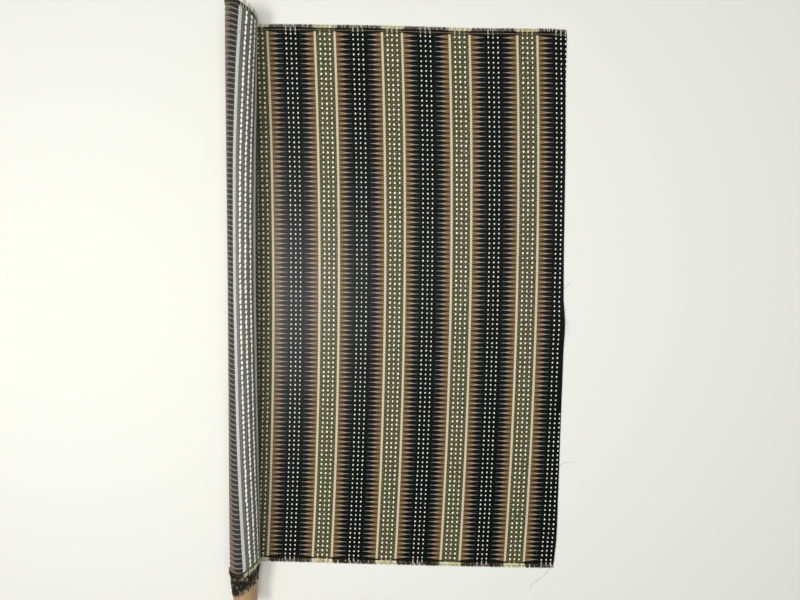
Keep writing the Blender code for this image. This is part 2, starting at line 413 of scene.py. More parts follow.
def set_weave(mesh, pairs):
    """Writes one UV pair for each vertex on all its corners."""
    corners = np.empty(len(mesh.loops), dtype=np.int32)
    mesh.loops.foreach_get("vertex_index", corners)
    layer = mesh.uv_layers.new(name="weave")
    layer.data.foreach_set("uv", pairs[corners].astype(np.float32).ravel())


print("rows of the pattern: %d, from %.4f to %.4f m" % (ROWS, PATTERN_START, PATTERN_END))

# %% [markdown]
# The cloth itself is one thin sheet. A grid from bmesh has its columns along the length and its rows
# across it. Its points are then moved on to the flat part and the spiral. Solidify gives the sheet its
# thickness, a second material on the reverse and a third on the rim, and it is applied so that the rim
# keeps its sharp edge.

# %% The cloth's sheet
FLAT_COLUMNS = 96
WOUND_COLUMNS = 44 * TURNS
ACROSS_ROWS = 104
RIM_ANGLE = 40

builder = bmesh.new()
bmesh.ops.create_grid(builder, x_segments=FLAT_COLUMNS + WOUND_COLUMNS, y_segments=ACROSS_ROWS, size=0.5)
places = np.array([vertex.co[:2] for vertex in builder.verts]) + 0.5
column = places[:, 0] * (FLAT_COLUMNS + WOUND_COLUMNS) - WOUND_COLUMNS
share = np.clip(places[:, 1], 0.0, 1.0)
wound = column / WOUND_COLUMNS * WOUND_LENGTH
reach = np.array(CUT_EDGE)
flat_y = FLAT_EDGES[-1][1] + share * (FLAT_EDGES[-1][2] - FLAT_EDGES[-1][1])
flat = column / FLAT_COLUMNS * np.interp(flat_y, reach[:, 0], reach[:, 1])
along = np.where(column < -0.001, wound, np.maximum(flat, 0.0))
for vertex, point in zip(builder.verts, cloth_points(along, share, SHEET / 2)):
    vertex.co = point
cloth_mesh = bpy.data.meshes.new("cloth_length")
builder.to_mesh(cloth_mesh)
builder.free()
set_weave(cloth_mesh, weave_place(along, share))
cloth = link("cloth_length", cloth_mesh)
shell = cloth.modifiers.new("thickness", "SOLIDIFY")
shell.thickness = SHEET
shell.offset = -1.0
shell.material_offset = 1
shell.material_offset_rim = 2
for part in range(3):
    cloth_mesh.materials.append(None)
thick = bpy.data.meshes.new_from_object(cloth.evaluated_get(bpy.context.evaluated_depsgraph_get()))
cloth.modifiers.clear()
cloth.data = thick
thick.shade_smooth()
thick.set_sharp_from_angle(angle=math.radians(RIM_ANGLE))
print("cloth's sheet: %d faces" % len(thick.polygons))

# %% [markdown]
# Face, reverse and fringe are dyed by the same plan, so the plan is one function. It gives the place in
# the repeat, the way into the dark band from its nearer side, the cream lines, and where a point lies
# between two rows. The wedges are made by comparing the way from a row's middle with a width that falls
# off along the wedge.

# %% The plan as shader nodes
EDGE = 0.0003


def weave_plan(wiring):
    """The sockets that say where a point lies in the weave."""
    source = wiring.tree.nodes.new("ShaderNodeUVMap")
    source.uv_map = "weave"
    parts = wiring.tree.nodes.new("ShaderNodeSeparateXYZ")
    wiring.feed(parts.inputs[0], source.outputs[0])
    plan = {"place": source.outputs[0], "along": parts.outputs[0], "across": parts.outputs[1]}
    plan["repeat"] = wiring.math("FLOORED_MODULO", plan["along"], REPEAT)
    first = wiring.math("SUBTRACT", DARK_BAND, plan["repeat"])
    plan["inward"] = wiring.math("MINIMUM", plan["repeat"], first)
    last = wiring.math("SUBTRACT", REPEAT, plan["repeat"])
    nearest = wiring.math("MINIMUM", wiring.math("ABSOLUTE", plan["inward"]), last)
    plan["to_cream"] = nearest
    plan["olive"] = wiring.step(plan["inward"], 0.0004, -0.0004)
    rows = wiring.math("DIVIDE", wiring.math("SUBTRACT", plan["across"], PATTERN_START), ROW_PITCH)
    plan["in_row"] = wiring.math("SUBTRACT", wiring.math("FRACT", rows), 0.5)
    plan["from_row"] = wiring.math("ABSOLUTE", plan["in_row"])
    return plan


def pin_mask(wiring, plan, half, soft):
    """1 on the pin lines of both bands."""
    masks = [wiring.band(plan["repeat"], line, half, soft) for line in PIN_LINES]
    total = masks[0]
    for mask in masks[1:]:
        total = wiring.math("MAXIMUM", total, mask)
    return total


def in_pattern(wiring, plan):
    """1 between the first and last row, 0 in the selvages."""
    middle = (PATTERN_START + PATTERN_END) / 2
    return wiring.band(plan["across"], middle, (PATTERN_END - PATTERN_START) / 2, EDGE)


# %% [markdown]
# On the face the wedges are tan at their roots and grey at their thin tips. Between them the ground goes
# from dark brown to a black with a breath of blue. The olive band is a fine mix of two yarns, so it gets a
# speckle. The cream lines are ribbed by the wefts that cross them. The yarns' dye varies from row to row,
# which a slow noise gives.

# %% The face
WEDGE_LENGTH = 0.0410
WEDGE_BODY = 0.0285
WEDGE_ROOT = 0.32
TIP_ROOT = 0.12
WEDGE_TAN = 0.0180
WEDGE_RAGGED = 0.10
CREAM_RIB = ROW_PITCH / 3
YARN = 0.0009
SELVAGE_LINE = 0.0042
FACE_SHINE = 0.37
FACE_ROUGHNESS = 0.31
FACE_RELIEF = 0.00015


def face_material():
    """The face: wedges on a dark ground, speckled olive, ribbed cream lines and plain selvages."""
    wiring = Wiring("jacquard_face")
    plan = weave_plan(wiring)
    speckle = wiring.noise(plan["place"], 480.0, 2.0)
    coarse = wiring.noise(plan["place"], 230.0, 1.0)
    slow = wiring.noise(plan["place"], 42.0, 2.0)
    drawn_out = wiring.vector(wiring.math("MULTIPLY", plan["along"], 3.0), plan["across"])
    by_row = wiring.noise(drawn_out, 55.0, 1.0)

    inward = plan["inward"]
    left = wiring.remaining(inward, WEDGE_LENGTH)
    body = wiring.remaining(inward, WEDGE_BODY)
    tip_half = wiring.math("MULTIPLY", wiring.math("POWER", left, 0.6), TIP_ROOT)
    width = wiring.math("ADD", wiring.math("MULTIPLY", body, WEDGE_ROOT), tip_half)
    ragged = wiring.math("MULTIPLY", wiring.math("SUBTRACT", speckle, 0.5), WEDGE_RAGGED)
    width = wiring.math("ADD", width, ragged)
    inside = wiring.math("SUBTRACT", width, plan["from_row"])
    wedge = wiring.step(inside, -0.035, 0.035)
    wedge = wiring.math("MULTIPLY", wedge, wiring.step(left, 0.0, 0.05))

    tan = wiring.mix(wiring.step(by_row, 0.35, 0.65), dye(147, 117, 85), dye(130, 107, 72))
    tan = wiring.mix(wiring.step(speckle, 0.35, 0.75), tan, dye(100, 76, 42))
    tip = wiring.mix(wiring.step(inward, WEDGE_TAN - 0.009, WEDGE_TAN + 0.008), tan, dye(156, 149, 140))
    ground = wiring.mix(wiring.step(inward, 0.008, 0.028), dye(70, 44, 2), dye(10, 16, 14))
    mixed = wiring.math("MULTIPLY", wiring.step(coarse, 0.48, 0.75), wiring.step(inward, 0.010, 0.028))
    ground = wiring.mix(mixed, ground, dye(29, 39, 33))
    bluish = wiring.math("MULTIPLY", wiring.step(slow, 0.52, 0.75), 0.35)
    ground = wiring.mix(bluish, ground, dye(18, 24, 38))
    dark = wiring.mix(wedge, ground, tip)
    dark = wiring.mix(wiring.step(inward, 0.0036, 0.0028), dark, tan)

    fine = wiring.math("MULTIPLY", wiring.math("ADD", speckle, coarse), 0.5)
    olive = wiring.mix(wiring.step(fine, 0.40, 0.62), dye(45, 45, 25), dye(113, 111, 73))
    olive = wiring.mix(wiring.math("MULTIPLY", wiring.step(slow, 0.4, 0.7), 0.3), olive, dye(82, 76, 50))
    colour = wiring.mix(plan["olive"], dark, olive)

    # Under and around each pin the colour is pulled towards black: painted shade of the raised float.
    pins = pin_mask(wiring, plan, 0.0030, 0.0014)
    shade = wiring.math("MULTIPLY", pins, wiring.step(plan["from_row"], 0.34, 0.20))
    colour = wiring.mix(wiring.math("MULTIPLY", shade, 0.6), colour, dye(16, 16, 11))

    ribs = wiring.math("SINE", wiring.math("MULTIPLY", plan["across"], 2 * math.pi / CREAM_RIB))
    cream = wiring.mix(wiring.step(ribs, -1.0, 0.2), dye(134, 128, 106), dye(226, 221, 193))
    cream_mask = wiring.step(plan["to_cream"], CREAM_HALF + EDGE, CREAM_HALF - EDGE)
    colour = wiring.mix(cream_mask, colour, cream)

    selvage = wiring.mix(plan["olive"], dye(20, 18, 14), dye(54, 48, 28))
    tufts = wiring.math("MULTIPLY", pin_mask(wiring, plan, 0.0012, 0.0005), wiring.step(slow, 0.35, 0.55))
    selvage = wiring.mix(tufts, selvage, dye(196, 194, 176))
    line = wiring.band(plan["across"], PATTERN_END + SELVAGE_LINE, 0.0006, EDGE)
    selvage = wiring.mix(wiring.math("MULTIPLY", line, 0.75), selvage, dye(150, 140, 116))
    colour = wiring.mix(in_pattern(wiring, plan), selvage, colour)

    weft = wiring.math("SINE", wiring.math("MULTIPLY", plan["along"], 2 * math.pi / YARN))
    warp = wiring.math("SINE", wiring.math("MULTIPLY", plan["across"], 2 * math.pi / YARN))
    yarns = wiring.math("MULTIPLY", wiring.math("MULTIPLY", weft, warp), 0.25)
    raised = wiring.math("ADD", wiring.math("MULTIPLY", wedge, 0.5), cream_mask)
    height = wiring.math("ADD", wiring.math("ADD", yarns, raised), wiring.math("MULTIPLY", speckle, 0.8))
    wiring.shader.inputs["Specular IOR Level"].default_value = FACE_SHINE
    return wiring.finish(colour, FACE_ROUGHNESS, height, FACE_RELIEF)


thick.materials[0] = face_material()
print("face: wedges %.1f mm long" % (WEDGE_LENGTH * 1000))

# %% [markdown]
# The reverse shows what the face hides. Where the face is tan the back is dark, with a pale thread at each
# row, and further in broad tan tongues take over. The olive band turns grey, and the cream lines are
# chalky and wider.

# %% The reverse and the cut rim
REVERSE_CREAM_HALF = 0.0036
TONGUE_START = 0.011
TONGUE_LENGTH = 0.018
TONGUE_ROOT = 0.31
TONGUE_CURVE = 1.3
THREAD_HALF = 0.055
TICK_PITCH = 0.0058
REVERSE_SHINE = 0.9
REVERSE_ROUGHNESS = 0.55
REVERSE_RELIEF = 0.0002


def reverse_material():
    """The reverse: tan tongues with pale threads, grey for the olive, chalky lines and ticked selvages."""
    wiring = Wiring("jacquard_reverse")
    plan = weave_plan(wiring)
    speckle = wiring.noise(plan["place"], 520.0, 2.0)
    slow = wiring.noise(plan["place"], 60.0, 1.0)
    inward = plan["inward"]

    from_gap = wiring.math("SUBTRACT", 0.5, plan["from_row"])
    way = wiring.math("MAXIMUM", wiring.math("SUBTRACT", inward, TONGUE_START), 0.0)
    way = wiring.math("DIVIDE", way, TONGUE_LENGTH)
    taper = wiring.math("POWER", wiring.math("MINIMUM", way, 1.0), TONGUE_CURVE)
    width = wiring.math("ADD", wiring.math("MULTIPLY", taper, TONGUE_ROOT), THREAD_HALF)
    tongue = wiring.step(wiring.math("SUBTRACT", width, from_gap), -0.045, 0.045)
    # One side of each row's tan is darkened towards brown: a painted shadow along the lower side of each
    # tongue.
    below = wiring.step(wiring.math("MULTIPLY", plan["in_row"], plan["from_row"]), 0.02, 0.20)
    tan = wiring.mix(speckle, dye(108, 94, 80), dye(150, 133, 114))
    tan = wiring.mix(wiring.math("MULTIPLY", below, 0.6), tan, dye(64, 46, 32))
    tan = wiring.mix(wiring.step(way, 0.05, 0.55), dye(160, 160, 152), tan)
    near = wiring.mix(wiring.step(inward, 0.008, 0.024), dye(38, 42, 42), dye(46, 34, 24))
    dark = wiring.mix(tongue, near, tan)
    middle = wiring.mix(speckle, dye(64, 62, 56), dye(128, 112, 94))
    dark = wiring.mix(wiring.step(inward, 0.041, 0.045), dark, middle)

    grey = wiring.mix(wiring.step(speckle, 0.40, 0.64), dye(74, 76, 71), dye(121, 123, 115))
    colour = wiring.mix(plan["olive"], dark, grey)
    # Under and beside the dash lines the colour is darkened: painted shade of the raised dashes.
    dash_shade = pin_mask(wiring, plan, 0.0034, 0.0010)
    colour = wiring.mix(wiring.math("MULTIPLY", dash_shade, 0.32), colour, dye(48, 48, 42))
    chalk = wiring.mix(wiring.step(speckle, 0.42, 0.60), dye(152, 154, 146), dye(220, 220, 211))
    cream_mask = wiring.step(plan["to_cream"], REVERSE_CREAM_HALF + EDGE, REVERSE_CREAM_HALF - EDGE)
    colour = wiring.mix(cream_mask, colour, chalk)
    ticks = wiring.math("SINE", wiring.math("MULTIPLY", plan["along"], 2 * math.pi / TICK_PITCH))
    selvage = wiring.mix(slow, dye(14, 14, 14), dye(44, 38, 26))
    ticks = wiring.math("MULTIPLY", wiring.step(ticks, 0.3, 0.6), wiring.step(slow, 0.40, 0.60))
    ticks = wiring.math("MULTIPLY", wiring.math("MULTIPLY", ticks, plan["olive"]), 0.7)
    selvage = wiring.mix(ticks, selvage, dye(206, 204, 186))
    colour = wiring.mix(in_pattern(wiring, plan), selvage, colour)
    height = wiring.math("ADD", wiring.math("MULTIPLY", speckle, 1.4), cream_mask)
    wiring.shader.inputs["Specular IOR Level"].default_value = REVERSE_SHINE
    return wiring.finish(colour, REVERSE_ROUGHNESS, height, REVERSE_RELIEF)


def rim_material():
    """The sheet's rim, where dark and pale yarns are cut."""
    wiring = Wiring("cut_yarns")
    plan = weave_plan(wiring)
    speckle = wiring.noise(plan["place"], 900.0, 1.0)
    colour = wiring.mix(wiring.step(speckle, 0.45, 0.65), dye(30, 31, 30), dye(92, 86, 70))
    return wiring.finish(colour, 0.9, speckle, 0.0002)


thick.materials[1] = reverse_material()
thick.materials[2] = rim_material()
print("materials on the cloth:", [material.name for material in thick.materials])

# %% [markdown]
# Pins, dashes and yarn ends are small things repeated by the thousand. Each kind has a template made by
# bmesh operators. The copies are one joined mesh, and each copy has its own frame on the cloth and its own
# place in the weave, so that the materials can dye it. Loose objects would be slow to place and could not
# be exported as one piece.

# %% Many small copies as one mesh
FRAME_STEP = 0.0004


def cloth_frames(along, share, offset):
    """Point, direction ahead, direction to the back edge and normal of the face, for places on the cloth."""
    step = FRAME_STEP
    point = cloth_points(along, share, offset)
    ahead = cloth_points(along + step, share, offset) - cloth_points(along - step, share, offset)
    aside = cloth_points(along, share + step, offset) - cloth_points(along, share - step, offset)
    ahead = ahead / np.linalg.norm(ahead, axis=1)[:, None]
    aside = aside / np.linalg.norm(aside, axis=1)[:, None]
    normal = np.cross(ahead, aside)
    normal = normal / np.linalg.norm(normal, axis=1)[:, None]
    return point, ahead, aside, normal


def template_of(builder):
    """Points and faces of a small bmesh, which is freed."""
    bmesh.ops.recalc_face_normals(builder, faces=builder.faces)
    points = np.array([vertex.co[:] for vertex in builder.verts])
    builder.verts.index_update()
    faces = [[vertex.index for vertex in face.verts] for face in builder.faces]
    builder.free()
    return points, faces


def joined(name, templates, kinds, origins, frames, marks, material):
    """One object of copies. A copy has a kind, an origin, three scaled axes as rows, and a UV pair."""
    points = []
    faces = []
    pairs = []
    count = 0
    for kind, origin, axes, mark in zip(kinds, origins, frames, marks):
        shape, sides = templates[kind]
        points.append(origin + shape @ axes)
        faces.extend([[corner + count for corner in side] for side in sides])
        pairs.append(np.repeat(mark[None, :], len(shape), axis=0))
        count += len(shape)
    mesh = bpy.data.meshes.new(name)
    mesh.from_pydata(np.concatenate(points).tolist(), [], faces)
    mesh.shade_smooth()
    set_weave(mesh, np.concatenate(pairs))
    mesh.materials.append(material)
    thing = link(name, mesh)
    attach(thing, "root")
    print("%s: %d copies, %d faces" % (name, len(origins), len(faces)))
    return thing


# %% [markdown]
# A pin is a short white float that lies on the face and dips at both ends. Its template is an eight-sided
# disc, drawn up and in to a low dome. On the reverse the same yarn runs on almost to the next row as a
# long dash. No two are quite alike, so each copy has its own length, width and slant.

# %% Pins on the face, dashes on the reverse
PIN_SIDES = 8
PIN_SIZE = (0.0021, 0.0026, 0.00045)
OLIVE_PIN_SCALE = 1.27
DASH_SIZE = (0.0027, 0.0061, 0.00050)
DASH_SHIFT = 0.0010
CREEP_STEPS = 4
PIN_RISES = ((0.6, 0.86), (0.4, 0.62))
PIN_SINK = 0.00005
PIN_STRAYS = (0.00022, 0.00035)
PIN_SLANT = 0.10
chance = np.random.default_rng(7)


def dome():
    """A low dome of half width 1 and height 1, open below."""
    builder = bmesh.new()
    bmesh.ops.create_circle(builder, cap_ends=True, segments=PIN_SIDES, radius=1.0)
    crown = builder.faces[:]
    for height, size in PIN_RISES:
        grown = bmesh.ops.extrude_face_region(builder, geom=crown)["geom"]
        crown = [part for part in grown if isinstance(part, bmesh.types.BMFace)]
        corners = crown[0].verts
        bmesh.ops.translate(builder, verts=corners, vec=(0, 0, height))
        bmesh.ops.scale(builder, verts=corners, vec=(size, size, 1))
    return template_of(builder)


def pin_places(low, high):
    """Along, share and scale of each pin between two distances from the roll's floor line. How far the lines
    creep depends on the place itself, so the place is found in a few rounds."""
    places = []
    for row in range(ROWS):
        share = (PATTERN_START + (row + 0.5) * ROW_PITCH) / CLOTH_WIDTH
        for repeat in range(math.floor(low / REPEAT) - 1, math.ceil(high / REPEAT) + 1):
            places.extend((repeat * REPEAT + line, share) for line in PIN_LINES)
    weave, share = np.array(places).T
    along = weave + cream_line(share)
    for step in range(CREEP_STEPS):
        along = weave + cream_line(share) - creep(along, share)
    inside = (along > low) & (along < high)
    scale = np.where(weave % REPEAT > DARK_BAND, OLIVE_PIN_SCALE, 1.0)
    return along[inside], share[inside], scale[inside]


def floats(name, places, offset, size, side, scatter, material):
    """White floats at places on the face, side 1, or on the reverse, side -1."""
    along, share, scale = places
    count = len(along)
    along = along + chance.normal(0, PIN_STRAYS[0], count)
    share = share + chance.normal(0, PIN_STRAYS[1], count) / CLOTH_WIDTH
    point, ahead, aside, normal = cloth_frames(along, share, offset)
    slant = chance.normal(PIN_SLANT, scatter, count)[:, None]
    length = aside + ahead * slant * side
    length = length / np.linalg.norm(length, axis=1)[:, None]
    up = normal * side
    width = np.cross(length, up)
    wide = size[0] * (scale * chance.uniform(0.85, 1.12, count))[:, None]
    long = size[1] * (scale * chance.uniform(0.84, 1.14, count))[:, None]
    frames = np.stack([width * wide, length * long, up * size[2]], axis=1)
    marks = np.stack([chance.uniform(0, 1, count), chance.uniform(0, 1, count)], axis=1)
    return joined(name, [dome()], [0] * count, point, frames, marks, material)


def float_material():
    """White yarn, a little warmer from copy to copy."""
    wiring = Wiring("white_float")
    plan = weave_plan(wiring)
    colour = wiring.mix(plan["along"], dye(252, 252, 244), dye(242, 240, 226))
    objects = wiring.tree.nodes.new("ShaderNodeTexCoord").outputs["Object"]
    fibre = wiring.noise(objects, 1500.0, 2.0)
    colour = wiring.mix(wiring.step(fibre, 0.55, 0.85, 0.0, 0.25), colour, dye(190, 186, 166))
    return wiring.finish(colour, 0.6, fibre, 0.0001)


white = float_material()
FREE_OF_ROLL = 0.012
FREE_OF_CUT = 0.007
OUTER_TURN = (-2 * math.pi * MIDDLE_RADIUS * 1.02, -0.014)
on_flat = pin_places(FREE_OF_ROLL, FLAT_LENGTH - FREE_OF_CUT)
face_pins = floats("face_pins", on_flat, SHEET / 2 - PIN_SINK, PIN_SIZE, 1, 0.16, white)
on_roll = pin_places(*OUTER_TURN)
on_roll = (on_roll[0] - DASH_SHIFT, on_roll[1], np.ones(len(on_roll[0])))
roll_dashes = floats("roll_dashes", on_roll, PIN_SINK - SHEET / 2, DASH_SIZE, -1, 0.07, white)

# %% [markdown]
# Along both woven edges the wefts run on as short loose ends, which lie on the floor or stand off the
# roll's ends. A yarn end is a three-sided strand that thins to its tip, in a few bent shapes. They lean in
# clumps, as yarns do that cling together, so the lean comes from a slow wave with some scatter. Hair
# curves would be quicker to grow, but they are no mesh.

# %% A yarn end
STRAND_SIDES = 3
STRAND_STEPS = 4
STRAND_BENDS = (-3.2, -1.8, -0.6, 0.5, 1.6, 2.8)
STRAIGHT = 3
STRAND_THIN = 0.93
TIP_THIN = 0.55
LOWEST = 0.00064


def strand(bend):
    """A yarn end of length 1 and thickness 1 that leaves along +X and bends to the side, in thicknesses."""
    builder = bmesh.new()
    bmesh.ops.create_circle(builder, cap_ends=True, segments=STRAND_SIDES, radius=0.5)
    turn = Matrix.Rotation(math.radians(90), 3, "Y")
    bmesh.ops.rotate(builder, verts=builder.verts[:], cent=(0, 0, 0), matrix=turn)
    tip = builder.faces[:]
    last = 0.0
    for number in range(1, STRAND_STEPS + 1):
        way = number / STRAND_STEPS
        grown = bmesh.ops.extrude_face_region(builder, geom=tip)["geom"]
        tip = [part for part in grown if isinstance(part, bmesh.types.BMFace)]
        corners = tip[0].verts
        side = bend * way**2
        bmesh.ops.translate(builder, verts=corners, vec=(1 / STRAND_STEPS, side - last, 0))
        last = side
        thin = STRAND_THIN if number < STRAND_STEPS else TIP_THIN
        centre = Matrix.Translation((-way, -side, 0))
        bmesh.ops.scale(builder, verts=corners, vec=(1, thin, thin), space=centre)
    return template_of(builder)


STRANDS = [strand(bend) for bend in STRAND_BENDS]


def fringe_material():
    """Yarn ends: gold by the olive, brown and black by the dark band, white at the lines and pins."""
    wiring = Wiring("loose_yarns")
    plan = weave_plan(wiring)
    pick = plan["across"]
    gold = wiring.mix(wiring.step(pick, 0.35, 1.0), dye(255, 247, 194), dye(160, 142, 70))
    brown = wiring.mix(wiring.step(pick, 0.35, 0.75), dye(28, 19, 8), dye(122, 100, 54))
    black = wiring.mix(wiring.step(pick, 0.60, 0.95), dye(12, 12, 8), dye(80, 69, 32))
    dark = wiring.mix(wiring.step(plan["inward"], 0.020, 0.030), brown, black)
    colour = wiring.mix(plan["olive"], dark, gold)
    cream_mask = wiring.step(plan["to_cream"], CREAM_HALF + 0.001, CREAM_HALF)
    pins = wiring.math("MULTIPLY", pin_mask(wiring, plan, 0.0016, 0.0002), wiring.step(pick, 0.14, 0.16))
    colour = wiring.mix(wiring.math("MAXIMUM", cream_mask, pins), colour, dye(240, 238, 222))
    objects = wiring.tree.nodes.new("ShaderNodeTexCoord").outputs["Object"]
    fibre = wiring.noise(objects, 1200.0, 2.0)
    colour = wiring.mix(wiring.step(fibre, 0.5, 0.8, 0.0, 0.3), colour, dye(40, 36, 26))
    return wiring.finish(colour, 0.85, fibre, 0.0002)


yarn_finish = fringe_material()
print("yarn ends: %d shapes" % len(STRANDS))

# %% [markdown]
# A fringe is a row of such strands, each set on the woven edge in the cloth's own directions. A strand
# takes its dye from the stripe that it comes out of, and a lightness that follows its clump, so that
# neighbours are alike. The strands of the outer turn are longer. Most of those between the turns take the
# black ground's dye: painted shade of the dark jumble between the turns.

# %% Fringes along the flat part
YARN_SCATTER = 0.00010
YARN_THICK = 0.00080
ROOT_DEPTH = 0.0015
FLAT_RISE = (-0.012, 0.03)
FRINGE_FROM_ROLL = 0.006
FRINGE_FROM_CUT = 0.014
FLAT_FRINGES = [
    # name, side, share of the width, spacing, shortest, longest, nodes it stands for
    ("yarns_front", -1, 0.0, 0.00022, 0.0106, 0.0130, ["fringe_front"]),
    ("yarns_back", 1, 1.0, 0.00041, 0.0074, 0.0098, ["fringe_back"]),
]
CLUMP_WAVES = (0.0043, 0.0071, 0.0127)
CLUMP_LEAN = 0.55
CLUMP_SHORTER = 0.18
CLUMP_SHADE = 0.85
LEAN_SCATTER = 0.16
SHADE_SCATTER = 0.14
OUTER_LONGER = 1.3
SHADED_BETWEEN_TURNS = 0.70
DARK_GROUND = 0.0555


def clump_lean(along, phase):
    """A sideways lean that gathers neighbouring yarns into clumps."""
    lean = np.zeros_like(along)
    for number, wave in enumerate(CLUMP_WAVES):
        lean = lean + np.sin(along * 2 * math.pi / wave + phase * (number + 1) * 1.7)
    return lean / len(CLUMP_WAVES)


def yarn_ends(name, along, side, edge_share, shortest, longest, rise, nodes):
    """Loose weft ends along one woven edge."""
    count = len(along)
    along = along + chance.normal(0, YARN_SCATTER, count)
    share = np.full(count, edge_share)
    height = chance.uniform(-0.25, 0.25, count) * SHEET
    point, ahead, aside, normal = cloth_frames(along, share, height)
    point = point - aside * side * ROOT_DEPTH
    lean = clump_lean(along, 2.0 + side) * CLUMP_LEAN + chance.normal(0, LEAN_SCATTER, count)
    low, high = rise
    up = chance.uniform(low, high, count)
    outward = aside * side + ahead * lean[:, None] + normal * up[:, None]
    outward = outward / np.linalg.norm(outward, axis=1)[:, None]
    length = chance.uniform(shortest, longest, count) + ROOT_DEPTH
    length = length * (1 - CLUMP_SHORTER * np.abs(clump_lean(along, 5.0)))
    length = np.where((along < 0) & (turns_at(along) < 1), length * OUTER_LONGER, length)
    point[:, 2] = np.maximum(point[:, 2], LOWEST)
    outward[:, 2] = np.maximum(outward[:, 2], (LOWEST - point[:, 2]) / length)
    cross = np.cross(normal, outward)
    cross = cross / np.linalg.norm(cross, axis=1)[:, None]
    over = np.cross(outward, cross)
    thick = YARN_THICK * chance.uniform(0.7, 1.15, count)
    frames = np.stack([outward * length[:, None], cross * thick[:, None], over * thick[:, None]], axis=1)
    marks = weave_place(along, share)
    shade = 0.5 + clump_lean(along, 3.0) * CLUMP_SHADE + chance.normal(0, SHADE_SCATTER, count)
    marks[:, 1] = np.clip(shade, 0.0, 1.0)
    # Most strands between the turns take the black ground's dye: painted shade between the turns.
    painted_shade_between_turns = (turns_at(along) > 1) & (chance.uniform(0, 1, count) < SHADED_BETWEEN_TURNS)
    marks[painted_shade_between_turns, 0] = DARK_GROUND
    kinds = chance.integers(0, len(STRANDS), count)
    thing = joined(name, STRANDS, kinds, point, frames, marks, yarn_finish)
    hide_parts(*nodes)
    return thing


for name, side, edge, spacing, shortest, longest, nodes in FLAT_FRINGES:
    run = np.arange(FRINGE_FROM_ROLL, FLAT_LENGTH - FRINGE_FROM_CUT, spacing)
    yarn_ends(name, run, side, edge, shortest, longest, FLAT_RISE, nodes)

# %% [markdown]
# At the roll's ends the turns do not line up. The front end is pushed out step by step towards the core,
# so its fringes lie over each other in a slanting jumble, and the back end is drawn in by as much. Each
# turn has the same loose ends as the flat part, but they stand off the roll a little.

# %% Fringes round the roll's ends
ROLL_FRINGES = [
    # name, side, share of the width, nodes it stands for
    ("yarns_roll_front", -1, 0.0, ["fringe_roll_front_1", "fringe_roll_front_2", "fringe_roll_front_3"]),
    ("yarns_roll_back", 1, 1.0, ["fringe_roll_back"]),
]
ROLL_SPACING = 0.00050
ROLL_SHORTEST = 0.0062
ROLL_LONGEST = 0.0104
ROLL_RISE = (-0.22, 0.02)
for name, side, edge, nodes in ROLL_FRINGES:
    run = np.arange(-WOUND_LENGTH, -0.002, ROLL_SPACING)
    yarn_ends(name, run, side, edge, ROLL_SHORTEST, ROLL_LONGEST, ROLL_RISE, nodes)

# %% [markdown]
# Along the cut edge the ends of the cut yarns stand out as a short dark fuzz. A few long threads have come
# out of it and lie on the floor. Each is a chain of short straight yarn pieces along a smooth line through
# a few points, so that the fuzz and the threads are one mesh.

# %% The cut edge and its loose threads
FUZZ_SPACING = 0.0010
FUZZ_SHORTEST = 0.0008
FUZZ_LONGEST = 0.0026
FUZZ_THICK = 0.00045
FUZZ_DEPTH = 0.001
FUZZ_SHARES = (0.004, 0.996)
THREAD_THICK = 0.00042
THREAD_STEP = 0.0022
THREAD_OVERLAP = 1.15
THREAD_ON_CLOTH = 3
THREADS = [
    # points from the roll's axis and y, from the cloth outwards
    [
        (0.8395, -0.6960),
        (0.8310, -0.7110),
        (0.8130, -0.7310),
        (0.7950, -0.7430),
        (0.7840, -0.7540),
        (0.7780, -0.7690),
    ],
    [(0.8495, -0.4240), (0.8600, -0.4120), (0.8720, -0.4060), (0.8895, -0.4070)],
    [(0.8480, 0.0660), (0.8580, 0.0740), (0.8700, 0.0860)],
    [(0.8540, -0.0100), (0.8650, -0.0260), (0.8660, -0.0500)],
]


def smooth_line(points):
    """Points at even steps along a smooth line through the given ones."""
    given = np.array(points)
    ends = np.concatenate([given[:1] * 2 - given[1:2], given, given[-1:] * 2 - given[-2:-1]])
    line = []
    for before, start, stop, after in zip(ends, ends[1:], ends[2:], ends[3:]):
        count = max(2, int(np.linalg.norm(stop - start) / THREAD_STEP))
        way = (np.arange(count) / count)[:, None]
        bend = start * 2 + (stop - before) * way
        bend = bend + (before * 2 - start * 5 + stop * 4 - after) * way**2
        bend = bend + (start * 3 - before - stop * 3 + after) * way**3
        line.append(bend / 2)
    return np.concatenate(line + [given[-1:]])


